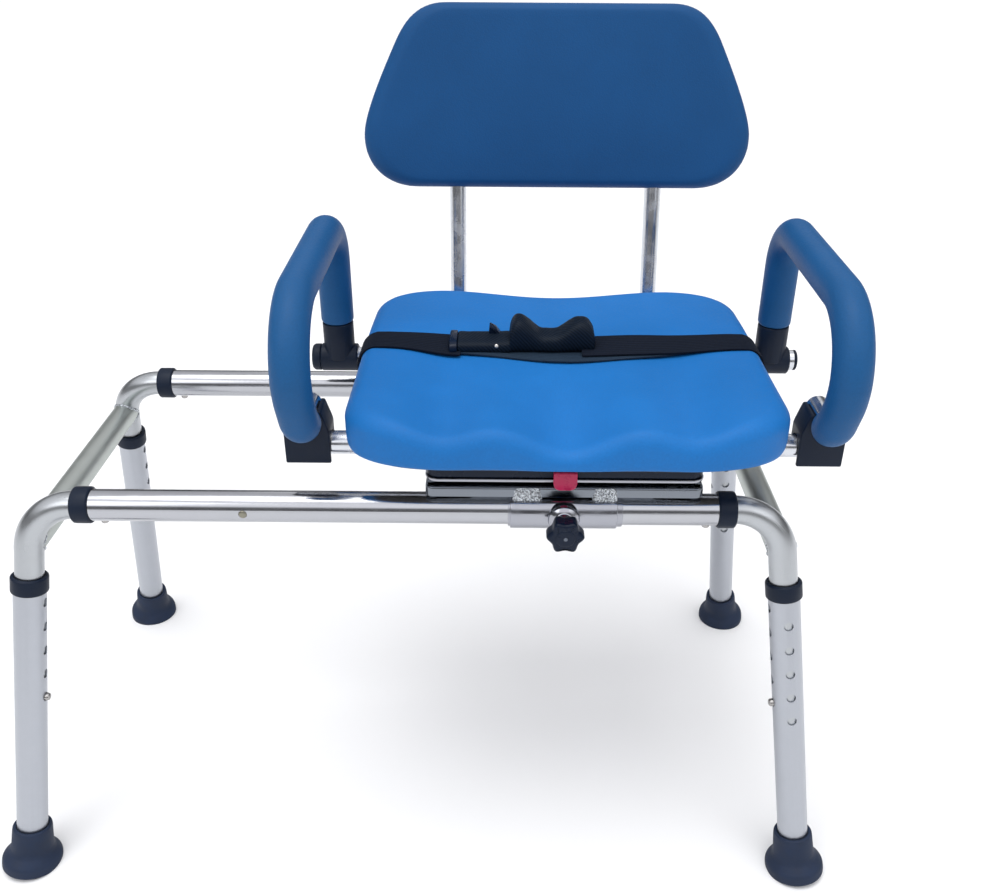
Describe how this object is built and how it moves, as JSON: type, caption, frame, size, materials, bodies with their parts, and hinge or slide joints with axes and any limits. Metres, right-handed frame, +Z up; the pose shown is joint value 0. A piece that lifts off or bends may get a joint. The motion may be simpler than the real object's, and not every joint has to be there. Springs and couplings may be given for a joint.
{
  "type": "bath transfer bench",
  "caption": "Bath transfer bench: padded blue seat with backrest, belt and lift-up arms, swivelling on a carriage that slides along a tubular frame with splayed height-adjustable legs.",
  "frame": {"origin": "on the floor, under the middle of the whole bench's bounding box", "axes": "+X along the bench towards the end where the seat is stored, +Y towards the backrest, +Z up"},
  "size_m": [0.8574, 0.4844, 0.7938],
  "materials": {
    "aluminium": "satin",
    "chrome": "polished",
    "zinc": "satin",
    "black_plastic": "satin",
    "black_rubber": "matte",
    "red_plastic": "gloss",
    "seat_foam": "satin",
    "back_foam": "satin",
    "arm_foam": "satin",
    "grey_plastic": "satin",
    "plywood": "matte",
    "webbing": "matte"
  },
  "bodies": {
    "frame": {"rail_front": "aluminium", "rail_rear": "aluminium", "corner_tube_front_left": "aluminium", "corner_tube_front_right": "aluminium", "corner_tube_rear_left": "aluminium", "corner_tube_rear_right": "aluminium", "rail_collar_front_left": "black_plastic", "rail_collar_front_right": "black_plastic", "rail_collar_rear_left": "black_plastic", "rail_collar_rear_right": "black_plastic", "cross_tube_left": "aluminium", "cross_tube_right": "aluminium"},
    "leg_front_left": {"lower_leg_front_left": "aluminium", "leg_collar_front_left": "black_plastic", "foot_front_left": "black_rubber"},
    "leg_front_right": {"lower_leg_front_right": "aluminium", "leg_collar_front_right": "black_plastic", "foot_front_right": "black_rubber"},
    "leg_rear_left": {"lower_leg_rear_left": "aluminium", "leg_collar_rear_left": "black_plastic", "foot_rear_left": "black_rubber"},
    "leg_rear_right": {"lower_leg_rear_right": "aluminium", "leg_collar_rear_right": "black_plastic", "foot_rear_right": "black_rubber"},
    "leg_pin_front_left": {"leg_button_front_left": "zinc"},
    "leg_pin_front_right": {"leg_button_front_right": "zinc"},
    "leg_pin_rear_left": {"leg_button_rear_left": "zinc"},
    "leg_pin_rear_right": {"leg_button_rear_right": "zinc"},
    "rail_pin_front_left": {"rail_button_front_left": "zinc"},
    "rail_pin_front_right": {"rail_button_front_right": "zinc"},
    "rail_pin_rear_left": {"rail_button_rear_left": "zinc"},
    "rail_pin_rear_right": {"rail_button_rear_right": "zinc"},
    "carriage": {"sleeve_front": "chrome", "sleeve_rear": "chrome", "swivel_lower_plate": "chrome", "swivel_bearing": "grey_plastic"},
    "knob": {"lock_knob": "black_plastic"},
    "seat": {"swivel_upper_plate": "chrome", "pivot_bolt": "zinc", "pivot_nut": "zinc", "seat_pan": "black_plastic", "seat_tube_front": "chrome", "seat_tube_rear": "chrome", "seat_board": "plywood", "seat_cushion": "seat_foam", "back_tube_left": "chrome", "back_tube_right": "chrome", "backrest": "back_foam", "belt_strap_left": "webbing", "belt_strap_right": "webbing", "belt_buckle": "black_plastic"},
    "release": {"release_lever": "red_plastic"},
    "arm_left": {"arm_pivot_left": "black_plastic", "arm_tube_left": "chrome", "arm_foam_left": "arm_foam", "arm_clip_left": "black_plastic"},
    "arm_right": {"arm_pivot_right": "black_plastic", "arm_tube_right": "chrome", "arm_foam_right": "arm_foam", "arm_clip_right": "black_plastic"}
  },
  "joints": [
    {"name": "carriage_slide", "type": "slide", "parent": "frame", "child": "carriage", "axis": [1, 0, 0], "range_m": [-0.37, 0.076]},
    {"name": "seat_swivel", "type": "hinge", "parent": "carriage", "child": "seat", "pos_m": [0.147, -0.0053, 0.43], "axis": [0, 0, 1], "continuous": true},
    {"name": "release_pull", "type": "slide", "parent": "seat", "child": "release", "axis": [0, -1, 0], "range_m": [0, 0.008], "stiffness_N_per_m": 300},
    {"name": "lock_knob_turn", "type": "hinge", "parent": "carriage", "child": "knob", "pos_m": [0.147, -0.1383, 0.3935], "axis": [0, -1, 0], "range_deg": [0, 540]},
    {"name": "arm_left_flip", "type": "hinge", "parent": "seat", "child": "arm_left", "pos_m": [-0.089, 0.0867, 0.446], "axis": [-1, 0, 0], "range_deg": [0, 90]},
    {"name": "arm_right_flip", "type": "hinge", "parent": "seat", "child": "arm_right", "pos_m": [0.383, 0.0867, 0.446], "axis": [-1, 0, 0], "range_deg": [0, 90]},
    {"name": "leg_front_left_length", "type": "slide", "parent": "frame", "child": "leg_front_left", "axis": [-0.1247, -0.1871, -0.9744], "range_m": [0, 0.104]},
    {"name": "leg_front_right_length", "type": "slide", "parent": "frame", "child": "leg_front_right", "axis": [0.1247, -0.1871, -0.9744], "range_m": [0, 0.104]},
    {"name": "leg_rear_left_length", "type": "slide", "parent": "frame", "child": "leg_rear_left", "axis": [-0.1247, 0.1871, -0.9744], "range_m": [0, 0.104]},
    {"name": "leg_rear_right_length", "type": "slide", "parent": "frame", "child": "leg_rear_right", "axis": [0.1247, 0.1871, -0.9744], "range_m": [0, 0.104]},
    {"name": "leg_pin_front_left_press", "type": "slide", "parent": "leg_front_left", "child": "leg_pin_front_left", "axis": [-0.9922, 0.0235, 0.1225], "range_m": [0, 0.005], "stiffness_N_per_m": 400},
    {"name": "leg_pin_front_right_press", "type": "slide", "parent": "leg_front_right", "child": "leg_pin_front_right", "axis": [0.9922, 0.0235, 0.1225], "range_m": [0, 0.005], "stiffness_N_per_m": 400},
    {"name": "leg_pin_rear_left_press", "type": "slide", "parent": "leg_rear_left", "child": "leg_pin_rear_left", "axis": [-0.9922, -0.0235, 0.1225], "range_m": [0, 0.005], "stiffness_N_per_m": 400},
    {"name": "leg_pin_rear_right_press", "type": "slide", "parent": "leg_rear_right", "child": "leg_pin_rear_right", "axis": [0.9922, -0.0235, 0.1225], "range_m": [0, 0.005], "stiffness_N_per_m": 400},
    {"name": "rail_pin_front_left_press", "type": "slide", "parent": "frame", "child": "rail_pin_front_left", "axis": [0, 0, 1], "range_m": [0, 0.005], "stiffness_N_per_m": 400},
    {"name": "rail_pin_front_right_press", "type": "slide", "parent": "frame", "child": "rail_pin_front_right", "axis": [0, 0, 1], "range_m": [0, 0.005], "stiffness_N_per_m": 400},
    {"name": "rail_pin_rear_left_press", "type": "slide", "parent": "frame", "child": "rail_pin_rear_left", "axis": [0, 0, 1], "range_m": [0, 0.005], "stiffness_N_per_m": 400},
    {"name": "rail_pin_rear_right_press", "type": "slide", "parent": "frame", "child": "rail_pin_rear_right", "axis": [0, 0, 1], "range_m": [0, 0.005], "stiffness_N_per_m": 400}
  ]
}
